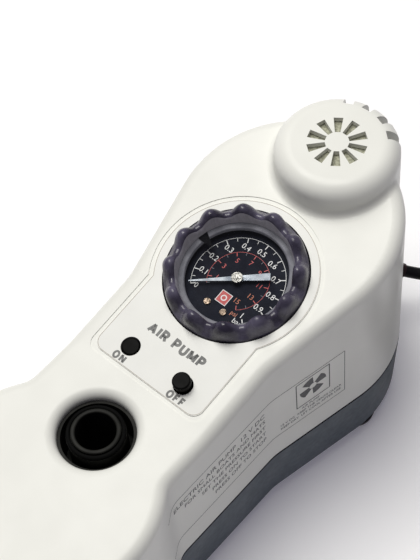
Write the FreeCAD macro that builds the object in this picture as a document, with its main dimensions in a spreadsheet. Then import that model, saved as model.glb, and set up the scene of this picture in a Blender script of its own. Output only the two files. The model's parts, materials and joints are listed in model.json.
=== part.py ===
"""Electric 12 V inflator pump: two-lobed housing with a pressure gauge that sets the cut-off.

Frame, in millimetres: +X towards the vented dome, +Y across, +Z up. The origin is the centre
of the housing's footprint, on the surface that the feet stand on.
"""
import FreeCAD, Part
import math
import os
import re
import Sketcher

Vector = FreeCAD.Vector
Rotation = FreeCAD.Rotation
Placement = FreeCAD.Placement

DIMENSIONS = {
    # housing outline, seen from above
    "lobe_radius": 51.5, "high_lobe_x": 72.6, "low_lobe_x": -84.0, "neck_half": 39.7,
    "waist_x": 10.0, "waist_bend": 26.0, "flare_bend": 12.0,
    "dome_x": 107.6, "dome_radius": 27.9,
    # housing heights and walls
    "foot_height": 3.0, "seam_z": 40.0, "seam_gap": 1.5, "deck_z": 110.8, "tilt_deg": 8.8,
    "edge_round": 5.5, "wall": 2.5, "deck_blend": 40.0, "base_taper": 2.0, "base_round": 3.0,
    "gasket_inset": 0.1,
    "dome_top": 144.0, "dome_round": 8.0, "slot_inner": 5.24, "slot_outer": 13.2,
    "slot_narrow": 2.4, "slot_wide": 4.3, "notch_width": 4.6, "notch_floor": 129.0,
    "notch_inner": 21.8,
    # gauge, along its own tilted axis from the dial face
    "dial_x": 39.6, "dial_z": 115.0, "panel_rise": 6.0, "overlay_thick": 0.4,
    "overlay_radius": 36.5, "overlay_half": 29.5, "overlay_end": 61.4, "overlay_corner": 5.0,
    "ring_radius": 31.9, "ring_bore": 25.3, "ring_skirt_bore": 27.0, "ring_crest": 10.8,
    "bump_radius": 4.1, "bump_circle": 27.5, "bump_height": 11.8, "lens_base": 6.5, "lens_thick": 1.5,
    "case_radius": 26.4, "case_depth": 28.0, "bezel_bore": 22.8, "dial_radius": 24.0,
    # buttons, in the gauge's frame
    "button_back": 52.5, "button_half": 15.0, "button_radius": 4.05, "button_stem": 3.2,
    "button_travel": 5.0, "button_hole": 4.45,
    # hose port
    "port_x": -51.4, "port_radius": 16.9, "port_lip": 4.6, "port_tube": 10.7, "port_bore": 8.7,
    "port_step": 12.8, "port_floor": 86.0,
    # blower stage
    "blower_x": 66.0, "blower_can": 24.0, "volute_radius": 42.0, "volute_base": 48.0,
    "volute_top": 70.0, "impeller_radius": 34.0, "inlet_radius": 14.0, "duct_y": 22.0,
    "duct_z": 58.0, "duct_radius": 9.5, "duct_bore": 8.0,
    # piston stage
    "cylinder_x": -96.0, "crank_z": 28.0, "crank_throw": 7.0, "piston_motor": 18.0,
    "bore_radius": 12.05, "piston_radius": 12.0, "rod_length": 42.0, "cylinder_base": 57.0,
    "cylinder_top": 87.0,
    # lead and plug
    "lead_radius": 3.0, "coil_x": 143.5, "coil_y": -90.0, "coil_inner": 23.2, "coil_outer": 47.8,
    "coil_height": 25.0, "plug_radius": 11.0, "plug_end": 24.0, "plug_y": -124.0,
}

doc = FreeCAD.newDocument("inflator_pump")
sheet = doc.addObject("Spreadsheet::Sheet", "dims")
for row, (alias, value) in enumerate(DIMENSIONS.items(), start=1):
    sheet.set(f"A{row}", alias)
    sheet.set(f"B{row}", str(value))
    sheet.setAlias(f"B{row}", alias)
doc.recompute()

NODES = {}


class V:
    """Plain values of the driving dimensions, for geometry that an expression can't place."""


for alias in DIMENSIONS:
    setattr(V, alias, getattr(sheet, alias))

TILT = math.radians(V.tilt_deg)
SLOPE = math.tan(TILT)


# ---------------------------------------------------------------- helpers

def formula(text):
    """A formula with each dimension's alias pointed at the sheet."""
    return re.sub(r"[a-z]\w*", lambda word: "dims." + word[0] if word[0] in DIMENSIONS else word[0],
                  str(text))


def bind(thing, **sizes):
    for name, text in sizes.items():
        thing.setExpression(name.replace("__", "."), formula(text))
    return thing


def put(thing, x="0", y="0", z="0", turn=None, angle="0"):
    """Place a thing at a point given by formulas, turned about an axis by an angle in degrees."""
    if turn:
        thing.Placement = Placement(Vector(), Rotation(Vector(*turn), 45))
        bind(thing, Placement__Rotation__Angle=f"({angle}) * 1 deg")
    return bind(thing, Placement__Base__x=f"({x}) * 1 mm", Placement__Base__y=f"({y}) * 1 mm",
                Placement__Base__z=f"({z}) * 1 mm")


AXES = {"x": ((0, 1, 0), "90"), "y": ((-1, 0, 0), "90"), "z": (None, "0")}


def cylinder(radius, low, high, x="0", y="0", z="0", along="z"):
    """A solid cylinder from low to high along an axis through (x, y, z)."""
    thing = bind(doc.addObject("Part::Cylinder", "cylinder"),
                 Radius=f"({radius}) * 1 mm", Height=f"(({high}) - ({low})) * 1 mm")
    turn, angle = AXES[along]
    start = {"x": x, "y": y, "z": z}
    start[along] = f"({start[along]}) + ({low})"
    return put(thing, start["x"], start["y"], start["z"], turn, angle)


def cone(radius_low, radius_high, low, high, x="0", y="0", z="0", along="z"):
    thing = bind(doc.addObject("Part::Cone", "cone"), Radius1=f"({radius_low}) * 1 mm",
                 Radius2=f"({radius_high}) * 1 mm", Height=f"(({high}) - ({low})) * 1 mm")
    turn, angle = AXES[along]
    start = {"x": x, "y": y, "z": z}
    start[along] = f"({start[along]}) + ({low})"
    return put(thing, start["x"], start["y"], start["z"], turn, angle)


def box(x_span, y_span, z_span):
    """A box from three (low, high) pairs of formulas."""
    thing = doc.addObject("Part::Box", "box")
    for side, (low, high) in zip(("Length", "Width", "Height"), (x_span, y_span, z_span)):
        bind(thing, **{side: f"(({high}) - ({low})) * 1 mm"})
    return put(thing, x_span[0], y_span[0], z_span[0])


def ball(radius, x="0", y="0", z="0"):
    thing = bind(doc.addObject("Part::Sphere", "ball"), Radius=f"({radius}) * 1 mm")
    return put(thing, x, y, z)


def fuse(*things):
    joined = doc.addObject("Part::MultiFuse", "joined")
    joined.Shapes = list(things)
    joined.Refine = True
    return joined


def cut(base, *tools):
    for tool in tools:
        rest = doc.addObject("Part::Cut", "cut")
        rest.Base = base
        rest.Tool = tool
        base = rest
    return base


def held(thing):
    """Wrap a thing, so that it can be placed once more."""
    wrap = doc.addObject("Part::Compound", "held")
    wrap.Links = [thing]
    return wrap


def common(first, second):
    both = doc.addObject("Part::Common", "shared")
    both.Base = first
    both.Tool = second
    return both


def tube(outer, bore, low, high, x="0", y="0", z="0", along="z"):
    return cut(cylinder(outer, low, high, x, y, z, along),
               cylinder(bore, f"({low}) - 1", f"({high}) + 1", x, y, z, along))


def rounded(base, radius, chosen, kind="Fillet"):
    """Round or chamfer the edges of base that the function chosen accepts."""
    doc.recompute()
    thing = doc.addObject("Part::" + kind, "rounded")
    thing.Base = base
    thing.Edges = [(number, radius, radius) for number, edge in enumerate(base.Shape.Edges, start=1)
                   if chosen(edge)]
    return thing


def on_gauge_axis(thing):
    """Move a thing made about local Z at the dial's centre to the gauge's tilted frame."""
    return put(held(thing), "dial_x", "0", "dial_z", (0, -1, 0), "tilt_deg")


def node(name, thing):
    thing.Label = name
    NODES[name] = thing
    return thing


def level(edge, height, slack=0.01):
    """Whether an edge lies in the horizontal plane at a height."""
    return abs(edge.BoundBox.ZMin - height) < slack and abs(edge.BoundBox.ZMax - height) < slack


# ---------------------------------------------------------------- housing outline

# the walls' insets from the outline: each formula with its value
INSETS = {"0": 0.0, "gasket_inset": V.gasket_inset, "wall": V.wall, "base_taper": V.base_taper,
          "wall + base_taper": V.wall + V.base_taper}


def outline_points(inset):
    """Junction points and centres of half the outline, y > 0, for an inset wall."""
    radius = V.lobe_radius - inset
    waist_bend = V.waist_bend + inset
    flare_bend = V.flare_bend + inset
    neck = V.neck_half - inset
    waist = Vector(V.waist_x, neck + waist_bend)
    span = waist - Vector(V.high_lobe_x, 0)
    away = math.atan2(span.y, span.x) - math.acos((radius + waist_bend) / span.Length)
    normal = Vector(math.cos(away), math.sin(away))
    flare_y = neck + flare_bend
    flare_x = V.low_lobe_x + math.sqrt((radius + flare_bend) ** 2 - flare_y ** 2)
    flare = Vector(flare_x, flare_y)
    low = Vector(V.low_lobe_x, 0)
    return {
        "radius": radius, "waist_bend": waist_bend, "flare_bend": flare_bend, "waist": waist, "flare": flare,
        "lobe_start": Vector(V.high_lobe_x, 0) + normal * radius,
        "waist_start": waist - normal * waist_bend,
        "waist_end": Vector(V.waist_x, neck),
        "flare_start": Vector(flare_x, neck),
        "flare_end": low + (flare - low) * (radius / (radius + flare_bend)),
    }


def outline_sketch(name, inset, height):
    """The closed housing outline as a fully bound sketch at a height; inset is a formula's text."""
    sketch = doc.addObject("Sketcher::SketchObject", name)
    bind(sketch, Placement__Base__z=f"({height}) * 1 mm")
    p = outline_points(INSETS[inset])
    high, low = Vector(V.high_lobe_x, 0), Vector(V.low_lobe_x, 0)
    up = Vector(0, 0, 1)

    def flip(point):
        return Vector(point.x, -point.y)

    def arc(centre, radius, start, end):
        first = math.atan2(start.y - centre.y, start.x - centre.x)
        last = math.atan2(end.y - centre.y, end.x - centre.x)
        return sketch.addGeometry(Part.ArcOfCircle(Part.Circle(centre, up, radius), first, last))

    def line(start, end):
        return sketch.addGeometry(Part.LineSegment(start, end))

    lobe = arc(high, p["radius"], flip(p["lobe_start"]), p["lobe_start"])
    side = line(p["lobe_start"], p["waist_start"])
    waist = arc(p["waist"], p["waist_bend"], p["waist_end"], p["waist_start"])
    neck = line(p["waist_end"], p["flare_start"])
    flare = arc(p["flare"], p["flare_bend"], p["flare_end"], p["flare_start"])
    foot = arc(low, p["radius"], p["flare_end"], flip(p["flare_end"]))
    flare2 = arc(flip(p["flare"]), p["flare_bend"], flip(p["flare_start"]), flip(p["flare_end"]))
    neck2 = line(flip(p["flare_start"]), flip(p["waist_end"]))
    waist2 = arc(flip(p["waist"]), p["waist_bend"], flip(p["waist_start"]), flip(p["waist_end"]))
    side2 = line(flip(p["waist_start"]), flip(p["lobe_start"]))

    start, end, centre = 1, 2, 3
    for first, first_end, second, second_end in (
            (lobe, end, side, start), (side, end, waist, end), (waist, start, neck, start),
            (neck, end, flare, end), (flare, start, foot, start), (foot, end, flare2, end),
            (flare2, start, neck2, start), (neck2, end, waist2, end), (waist2, start, side2, start),
            (side2, end, lobe, start)):
        sketch.addConstraint(Sketcher.Constraint("Tangent", first, first_end, second, second_end))

    def fix(kind, *where, text, value):
        number = sketch.addConstraint(Sketcher.Constraint(kind, *where, value))
        sketch.setExpression(f"Constraints[{number}]", formula(f"({text}) * 1 mm"))

    for piece, text, value in (
            (lobe, f"lobe_radius - ({inset})", p["radius"]), (foot, f"lobe_radius - ({inset})", p["radius"]),
            (waist, f"waist_bend + ({inset})", p["waist_bend"]),
            (waist2, f"waist_bend + ({inset})", p["waist_bend"]),
            (flare, f"flare_bend + ({inset})", p["flare_bend"]),
            (flare2, f"flare_bend + ({inset})", p["flare_bend"])):
        fix("Radius", piece, text=text, value=value)
    for piece, text in ((lobe, "high_lobe_x"), (foot, "low_lobe_x"), (waist, "waist_x"), (waist2, "waist_x")):
        fix("DistanceX", -1, 1, piece, centre, text=text, value=getattr(V, text))
    sketch.addConstraint(Sketcher.Constraint("PointOnObject", lobe, centre, -1))
    sketch.addConstraint(Sketcher.Constraint("PointOnObject", foot, centre, -1))
    for piece, sign, bend in ((waist, "", "waist_bend"), (waist2, "-", "waist_bend"),
                              (flare, "", "flare_bend"), (flare2, "-", "flare_bend")):
        value = (V.neck_half + getattr(V, bend)) * (-1 if sign else 1)
        fix("DistanceY", -1, 1, piece, centre, text=f"{sign}(neck_half + {bend})", value=value)
    return sketch


def raised(sketch, height):
    """The sketch drawn up by a height."""
    solid = doc.addObject("Part::Extrusion", "raised")
    solid.Base = sketch
    solid.DirMode = "Custom"
    solid.Dir = Vector(0, 0, 1)
    solid.Solid = True
    return bind(solid, LengthFwd=f"({height}) * 1 mm")


# ---------------------------------------------------------------- upper shell

def top_profile(drop):
    """A wide prism below the housing's top: a level deck blended into the tilted gauge panel."""
    reach, low = 160.0, 30.0
    rise = V.dial_z + (V.panel_rise - drop) / math.cos(TILT)
    deck = V.deck_z - drop
    bend_x = V.dial_x + (deck - rise) / SLOPE
    tangent = (V.deck_blend - drop) * math.tan(TILT / 2)
    deck_end = Vector(bend_x - tangent, 0, deck)
    panel_start = Vector(bend_x + tangent * math.cos(TILT), 0, deck + tangent * math.sin(TILT))
    lean = (math.sin(TILT / 2), math.cos(TILT / 2))
    middle = Vector(deck_end.x + (V.deck_blend - drop) * lean[0], 0,
                    deck + (V.deck_blend - drop) * (1 - lean[1]))
    end_z = rise + (reach - V.dial_x) * SLOPE
    sides = [Vector(reach, 0, end_z), Vector(reach, 0, low), Vector(-reach, 0, low), Vector(-reach, 0, deck)]
    edges = [Part.Arc(deck_end, middle, panel_start).toShape()]
    for start, end in zip([panel_start] + sides, sides + [deck_end]):
        edges.append(Part.LineSegment(start, end).toShape())
    profile = doc.addObject("Part::Feature", "top_profile")
    profile.Shape = Part.Face(Part.Wire(edges))
    prism = doc.addObject("Part::Extrusion", "below_top")
    prism.Base = profile
    prism.DirMode = "Custom"
    prism.Dir = Vector(0, 1, 0)
    prism.Solid = True
    prism.Symmetric = True
    return bind(prism, LengthFwd="lobe_radius * 4 * 1 mm")


def shell_mass(inset, bottom, drop, edge_round, crown, crown_round):
    """The housing above the seam as one solid mass, inset all round."""
    mass = common(raised(outline_sketch("shell_outline", inset, bottom), "150"), top_profile(drop))

    def top_edge(edge):
        """The rim of the top: every edge up there but the two seams across it, at the blend's ends."""
        bounds = edge.BoundBox
        return bounds.ZMin > V.deck_z - drop - 0.1 and not (bounds.XLength < 0.01 and bounds.YLength > 60)

    mass = rounded(mass, edge_round, top_edge)
    dome = cylinder(f"dome_radius - ({inset})", bottom, crown, "dome_x")
    dome = rounded(dome, crown_round, lambda edge: level(edge, V.dome_top - INSETS[inset]))
    return fuse(mass, dome)


def upper_shell():
    outside = shell_mass("0", "seam_z", 0.0, V.edge_round, "dome_top", V.dome_round)

    def foot_edge(edge):
        """The edges where the dome's wall meets the sloping panel."""
        box_ = edge.BoundBox
        sample = [edge.valueAt(edge.FirstParameter + (edge.LastParameter - edge.FirstParameter) * part)
                  for part in (0.1, 0.5, 0.9)]
        on_dome = all(abs(math.hypot(point.x - V.dome_x, point.y) - V.dome_radius) < 0.02 for point in sample)
        return on_dome and box_.ZMin > V.deck_z and box_.ZMax < V.dome_top - V.dome_round - 0.5 \
            and box_.XMin < V.dome_x

    outside = rounded(outside, 3.5, foot_edge)
    inside = shell_mass("wall", "seam_z - 1", V.wall, V.edge_round - V.wall,
                        "dome_top - wall", V.dome_round - V.wall)
    shell = fuse(cut(outside, inside), common(fuse(*notch_boxes("2")), outside))

    gauge_hole = cylinder("ring_radius + 0.5", "-12", "panel_rise + 3")
    buttons = [cylinder("button_hole", "-2", "panel_rise + 3", "-button_back", side)
               for side in ("button_half", "-button_half")]
    recess = overlay_slab("2", "panel_rise - overlay_thick", "panel_rise + 3")
    shell = cut(shell, on_gauge_axis(fuse(gauge_hole, *buttons)), on_gauge_axis(recess))

    slots = []
    for step in range(10):
        slot = bind(doc.addObject("Part::Wedge", "slot"), Ymin="slot_inner * 1 mm", Ymax="slot_outer * 1 mm",
                    Xmin="-slot_narrow / 2 * 1 mm", Xmax="slot_narrow / 2 * 1 mm",
                    X2min="-slot_wide / 2 * 1 mm", X2max="slot_wide / 2 * 1 mm",
                    Zmin="0 mm", Z2min="0 mm", Zmax="10 mm", Z2max="10 mm")
        slots.append(put(slot, "dome_x", "0", "dome_top - 8", (0, 0, 1), f"{36 * step - 90}"))
    shell = cut(shell, fuse(*slots), fuse(*notch_boxes("0")))

    collar = cylinder("port_radius + 4", "deck_z - 11", "deck_z - 1", "port_x")
    port = cylinder("port_radius", "deck_z - 14", "deck_z + 4", "port_x")
    shell = cut(fuse(shell, collar), port)
    return rounded(shell, V.port_lip, lambda edge: level(edge, V.deck_z)
                   and abs(edge.BoundBox.XLength - 2 * V.port_radius) < 0.1)


def notch_boxes(grow):
    """Boxes for the notches in the dome's rim, grown inwards, sideways and down by the pockets' wall."""
    boxes = []
    for angle in (-41.5, -19, 3.5, 26):
        inner, half = f"(notch_inner - {grow})", f"(notch_width / 2 + {grow})"
        notch = box(("0", "14"), (f"-{half}", half), ("0", "20"))
        boxes.append(put(notch, f"dome_x + {inner} * cos({angle} deg) + {half} * sin({angle} deg)",
                         f"{inner} * sin({angle} deg) - {half} * cos({angle} deg)",
                         f"notch_floor - {grow}", (0, 0, 1), f"{angle + 360}"))
    return boxes


def overlay_slab(grow, low, high):
    """The gauge panel's outline, a disc with a neck towards the buttons, between two heights."""
    disc = cylinder(f"overlay_radius + {grow}", low, high)
    neck = box((f"-overlay_end - {grow}", "0"), (f"-overlay_half - {grow}", f"overlay_half + {grow}"),
               (low, high))
    neck = rounded(neck, V.overlay_corner, lambda edge: edge.BoundBox.ZLength > 0.3
                   and edge.BoundBox.XMax < -V.overlay_end + 1)
    return fuse(disc, neck)


def panel_overlay():
    slab = overlay_slab("0", "panel_rise - overlay_thick", "panel_rise")
    hole = cylinder("ring_radius + 0.5", "0", "panel_rise + 1")
    buttons = [cylinder("button_hole", "0", "panel_rise + 1", "-button_back", side)
               for side in ("button_half", "-button_half")]
    return on_gauge_axis(cut(slab, fuse(hole, *buttons)))


# ---------------------------------------------------------------- base, seam, feet, screws

SCREW_SPOTS = [(117.5, 0), (57, 42), (57, -42), (-44, 32.5), (-44, -32.5), (-128.5, 0)]
FOOT_SPOTS = [(71.5, 39.5), (71.5, -39.5), (-84, 39.5), (-84, -39.5)]


def base_shell():
    mass = doc.addObject("Part::Loft", "base_mass")
    mass.Sections = [outline_sketch("base_foot", "base_taper", "foot_height"),
                     outline_sketch("base_rim", "0", "seam_z - seam_gap")]
    mass.Solid = True
    mass.Ruled = True
    nose = cone("dome_radius - base_taper", "dome_radius", "foot_height", "seam_z - seam_gap", "dome_x")
    mass = fuse(*[rounded(piece, V.base_round, lambda edge: level(edge, V.foot_height))
                  for piece in (mass, nose)])
    hollow = raised(outline_sketch("base_hollow", "wall + base_taper", "foot_height + wall"), "60")
    nose_hollow = cylinder("dome_radius - wall - base_taper", "foot_height + wall", "90", "dome_x")
    shell = cut(mass, fuse(hollow, nose_hollow))
    posts = fuse(*[cylinder("4.5", "foot_height + 1", "seam_z - seam_gap", str(x), str(y))
                   for x, y in SCREW_SPOTS])
    holes = fuse(*[cylinder("1.8", "0", "seam_z + 1", str(x), str(y)) for x, y in SCREW_SPOTS],
                 *[cylinder("3.4", "0", "foot_height + 3", str(x), str(y)) for x, y in SCREW_SPOTS])
    feet = fuse(*[cylinder("2.5", "0", "foot_height + wall + 1", str(x), str(y)) for x, y in FOOT_SPOTS])
    gland = gland_bore("2.6")
    return cut(fuse(shell, posts), holes, feet, gland)


GLAND_ANGLE = -33.0
GLAND_HEADING = -50.0
GLAND_SLOPE = -0.45
GLAND_Z = 32.5


def gland_bore(radius):
    """A bore along the lead's exit, through the nose of the base."""
    hole = bind(doc.addObject("Part::Cylinder", "gland_bore"), Radius=f"({radius}) * 1 mm", Height="24 mm")
    tip = gland_point(-14)
    hole.Placement = Placement(tip, Rotation(Vector(0, 0, 1), gland_direction()))
    return hole


def gland_direction():
    heading = math.radians(GLAND_HEADING)
    return Vector(math.cos(heading), math.sin(heading), GLAND_SLOPE).normalize()


def gland_point(distance):
    """A point on the lead's exit axis, at a distance out from the nose's surface."""
    angle = math.radians(GLAND_ANGLE)
    surface = Vector(V.dome_x + (V.dome_radius - 0.6) * math.cos(angle),
                     (V.dome_radius - 0.6) * math.sin(angle), GLAND_Z)
    return surface + gland_direction() * distance


def cable_gland():
    gland = doc.addObject("Part::Feature", "gland_feature")
    direction = gland_direction()
    flange = Part.makeCylinder(4.4, 2.0, gland_point(-8.4), direction)
    neck = Part.makeCylinder(2.55, 10.0, gland_point(-8.4), direction)
    boot = Part.makeCone(4.5, 3.5, 8.2, gland_point(-1.0), direction)
    gland.Shape = neck.fuse([flange, boot])
    return gland


def seam_gasket():
    ring = cut(raised(outline_sketch("seam_outer", "gasket_inset", "seam_z - seam_gap"), "seam_gap"),
               raised(outline_sketch("seam_inner", "wall", "seam_z - seam_gap - 1"), "seam_gap + 2"),
               cylinder("dome_radius - wall", "seam_z - seam_gap - 1", "seam_z + 1", "dome_x"))
    nose = cut(cylinder("dome_radius - gasket_inset", "seam_z - seam_gap", "seam_z", "dome_x"),
               cylinder("dome_radius - wall", "seam_z - seam_gap - 1", "seam_z + 1", "dome_x"),
               raised(outline_sketch("seam_inner", "wall", "seam_z - seam_gap - 1"), "seam_gap + 2"))
    return fuse(ring, nose)


def feet():
    return fuse(*[fuse(cone("9.4", "10", "0", "foot_height", str(x), str(y)),
                       cylinder("2.4", "foot_height - 0.5", "foot_height + wall", str(x), str(y)))
                  for x, y in FOOT_SPOTS])


def housing_screws():
    return fuse(*[fuse(cylinder("3.2", "foot_height + 0.8", "foot_height + 2.9", str(x), str(y)),
                       cylinder("1.7", "foot_height + 2", "seam_z - 2", str(x), str(y)))
                  for x, y in SCREW_SPOTS])


# ---------------------------------------------------------------- gauge, in its tilted frame

def gauge_case():
    cup = cut(cylinder("case_radius", "-case_depth", "3.4"),
              cylinder("case_radius - 1.6", "2 - case_depth", "5"))
    return on_gauge_axis(cut(cup, cylinder("5.2", "-case_depth - 1", "4 - case_depth")))


def gauge_bezel():
    ring = tube("case_radius", "bezel_bore", "3.6", "5.6")
    lip = rounded(ring, 0.6, lambda edge: level(edge, 5.6))
    return on_gauge_axis(lip)


def dial_face():
    return on_gauge_axis(cut(cylinder("dial_radius", "-1", "0"), cylinder("1.6", "-2", "1"),
                             *[cylinder("0.8", "-2", "1", "-15.5", side) for side in ("4.5", "-4.5")]))


def dial_screws():
    return on_gauge_axis(fuse(*[fuse(cylinder("1.5", "0.05", "0.8", "-15.5", side),
                                     cylinder("0.75", "-5", "0.3", "-15.5", side))
                                for side in ("4.5", "-4.5")]))


def bourdon_tube():
    ring = bind(doc.addObject("Part::Torus", "bourdon"), Radius1="17 mm", Radius2="2 mm", Angle3="260 deg")
    return on_gauge_axis(fuse(put(ring, "0", "0", "-14"), ball("2", "17", "0", "-14")))


def gauge_stem():
    """The gauge's brass inlet: a stud with a nut's collar and a barb towards the buttons."""
    stem = fuse(cylinder("5", "-case_depth - 9", "-case_depth + 6"),
                cylinder("8", "-case_depth - 4", "-case_depth - 0.2"),
                cylinder("2.6", "-12", "0", z="-case_depth - 6", along="x"))
    return on_gauge_axis(cut(stem, cylinder("1", "-13", "0", z="-case_depth - 6", along="x"),
                             cylinder("1", "-case_depth - 6", "-case_depth + 2")))


def needle():
    """The pointer at zero: a long taper to the tip and a short, broad tail."""
    blade = bind(doc.addObject("Part::Wedge", "blade"), Ymin="-21.4 mm", Ymax="14.4 mm", Zmin="0 mm",
                 Zmax="0.4 mm", Z2min="0 mm", Z2max="0.4 mm",
                 Xmin="-0.25 mm", Xmax="0.25 mm", X2min="-1.75 mm", X2max="1.75 mm")
    blade = put(blade, "0", "0", "2.2", (0, 0, 1), "218.6")
    return on_gauge_axis(cut(blade, cylinder("0.8", "0", "5")))


def needle_hub():
    """The pinion shaft, its collar and the bright cap over the needle."""
    collar = fuse(cylinder("0.75", "-12", "3"), cylinder("2.2", "1.2", "2.15"),
                  cylinder("2.5", "2.65", "3.6"))
    return on_gauge_axis(collar)


def set_ring():
    """Smoked grip ring: a flat flange, a sloping crest wall and twelve tall rounded bumps."""
    flange = cylinder("ring_radius", "panel_rise - 2", "panel_rise + 0.4")
    flange = rounded(flange, 0.6, lambda edge: level(edge, V.panel_rise + 0.4))
    crest = cone("ring_radius - 0.8", "ring_radius - 3.2", "panel_rise", "ring_crest")
    crest = rounded(crest, 1.4, lambda edge: level(edge, V.ring_crest))
    bumps = []
    for step in range(12):
        angle = 30 * step + 1.5
        x, y = f"bump_circle * cos({angle} deg)", f"bump_circle * sin({angle} deg)"
        bumps += [cylinder("bump_radius", "panel_rise", "bump_height", x, y),
                  ball("bump_radius", x, y, "bump_height")]
    body = fuse(flange, crest, *bumps)
    return on_gauge_axis(cut(body, cylinder("ring_bore", "0", "30"),
                             cylinder("ring_skirt_bore", "0", "lens_base - 0.4")))


def set_lens():
    return on_gauge_axis(cylinder("ring_bore", "lens_base", "lens_base + lens_thick"))


SET_ANGLE = 75.8


def set_pointer():
    """The black setting mark under the lens: a wedge from its rim and a fine line."""
    mark = bind(doc.addObject("Part::Wedge", "mark"), Ymin="17.6 mm", Ymax="25 mm",
                Zmin="0 mm", Zmax="0.25 mm", Z2min="0 mm", Z2max="0.25 mm",
                Xmin="-0.1 mm", Xmax="0.1 mm", X2min="-2.4 mm", X2max="2.4 mm")
    line = put(box(("-0.12", "0.12"), ("0", "9.6"), ("0", "0.2")), "-0.16", "15.1", "0", (0, 0, 1), "13.3")
    both = put(fuse(mark, line), "0", "0", "lens_base - 0.27", (0, 0, 1), f"{SET_ANGLE - 90 + 360}")
    return on_gauge_axis(both)


# ---------------------------------------------------------------- switch

def button(raised_by, side):
    """A black push button with a mushroom head, on a plunger with a stop flange."""
    lift = f"({raised_by})"
    head = cylinder("button_radius", f"panel_rise - 3.3 + {lift}", f"panel_rise + 0.2 + {lift}",
                    "-button_back", side)
    head = rounded(head, 0.8, lambda edge: edge.BoundBox.ZMin > V.panel_rise)
    stem = cylinder("button_stem", f"-8 + {lift}", f"panel_rise - 3 + {lift}", "-button_back", side)
    stop = cylinder("button_radius + 1.2", f"-8 + {lift}", f"-6.6 + {lift}", "-button_back", side)
    return on_gauge_axis(fuse(head, stem, stop))


def switch_rocker():
    """The lever under both buttons: it lifts one as the other is pressed."""
    beam = box(("-3", "3"), ("-button_half - 2.5", "button_half + 2.5"), ("-1.2", "1.2"))
    boss = cylinder("3.6", "-3", "3", along="x")
    lever = cut(fuse(beam, boss), cylinder("1.55", "-5", "5", along="x"))
    lean = put(lever, "-button_back", "0", "-8.2", (-1, 0, 0), "atan(button_travel / button_half / 2)")
    return on_gauge_axis(lean)


def rocker_pin():
    return on_gauge_axis(cylinder("1.5", "-6", "6", "-button_back", "0", "-8.2", along="x"))


def switch_block():
    """Switch body with two ears that carry the rocker's pin."""
    body = box(("-button_back - 9", "-button_back + 9"), ("-12", "12"), ("-27", "-16"))
    ears = [box((f"-button_back + {low}", f"-button_back + {high}"), ("-4", "4"), ("-16", "-5.5"))
            for low, high in ((-6, -3.4), (3.4, 6))]
    bracket = cut(fuse(body, *ears), cylinder("1.5", "-7", "7", "-button_back", "0", "-8.2", along="x"))
    return on_gauge_axis(bracket)


# ---------------------------------------------------------------- intake and hose port

def intake_filter():
    return cylinder("17.5", "dome_top - 12", "dome_top - wall - 0.5", "dome_x")


def filter_tray():
    tray = cut(cylinder("19.2", "dome_top - 16", "dome_top - 9", "dome_x"),
               cylinder("17.7", "dome_top - 12.1", "dome_top", "dome_x"))
    holes = fuse(*[cylinder("3", "dome_top - 20", "dome_top - 10", f"dome_x + 11 * cos({60 * step} deg)",
                            f"11 * sin({60 * step} deg)") for step in range(6)])
    return cut(tray, holes)


def hose_socket():
    """The hose's socket: an outer cup under the deck and a standing tube with a step."""
    cup = cut(cylinder("port_radius - 0.05", "port_floor - 2", "deck_z - port_lip - 0.6", "port_x"),
              cylinder("port_radius - 1.4", "port_floor", "deck_z", "port_x"))
    body = fuse(cup, cylinder("port_step", "port_floor - 1", "deck_z - 2.9", "port_x"),
                cylinder("port_tube", "port_floor - 18", "deck_z - 0.5", "port_x"))
    body = cut(body, cylinder("port_bore", "port_floor - 20", "deck_z + 1", "port_x"))
    return rounded(body, 0.7, lambda edge: level(edge, V.deck_z - 0.5))


def socket_seal():
    ring = bind(doc.addObject("Part::Torus", "seal"), Radius1="(port_step - 1) * 1 mm", Radius2="0.9 mm")
    return put(ring, "port_x", "0", "deck_z - 2")


def air_manifold():
    """The chamber that joins the blower's duct and the piston stage to the socket."""
    block = box(("port_x - 15", "port_x + 15"), ("-14", "duct_y + 12"), ("duct_z - 9.4", "port_floor - 18"))
    room = box(("port_x - 12.5", "port_x + 12.5"), ("-11.5", "duct_y + 9.5"),
               ("duct_z - 7", "port_floor - 20.5"))
    return cut(block, room, cylinder("port_bore + 0.8", "port_floor - 22", "port_floor", "port_x"),
               cylinder("duct_bore - 0.8", "0", "30", "port_x", "duct_y", "duct_z", along="x"))


def air_duct():
    return tube("duct_radius", "duct_bore - 0.8", "port_x + 15", "blower_x - 44",
                y="duct_y", z="duct_z", along="x")


# ---------------------------------------------------------------- blower stage

def blower_motor_can():
    can = cut(cylinder("blower_can", "8", "volute_base - 1", "blower_x"),
              cylinder("blower_can - 1.5", "10", "volute_base - 3", "blower_x"),
              cylinder("5", "5", "volute_base + 1", "blower_x"))
    return can


def blower_magnets():
    ring = tube("blower_can - 1.5", "blower_can - 6", "14", "volute_base - 8", "blower_x")
    gap = box(("blower_x - 30", "blower_x + 30"), ("-4", "4"), ("10", "volute_base"))
    return cut(ring, gap)


def blower_armature():
    return cut(cylinder("blower_can - 7", "14", "volute_base - 9", "blower_x"),
               cylinder("2", "10", "volute_base", "blower_x"))


def blower_shaft():
    return cylinder("2", "8.5", "volute_base + 14", "blower_x")


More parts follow.
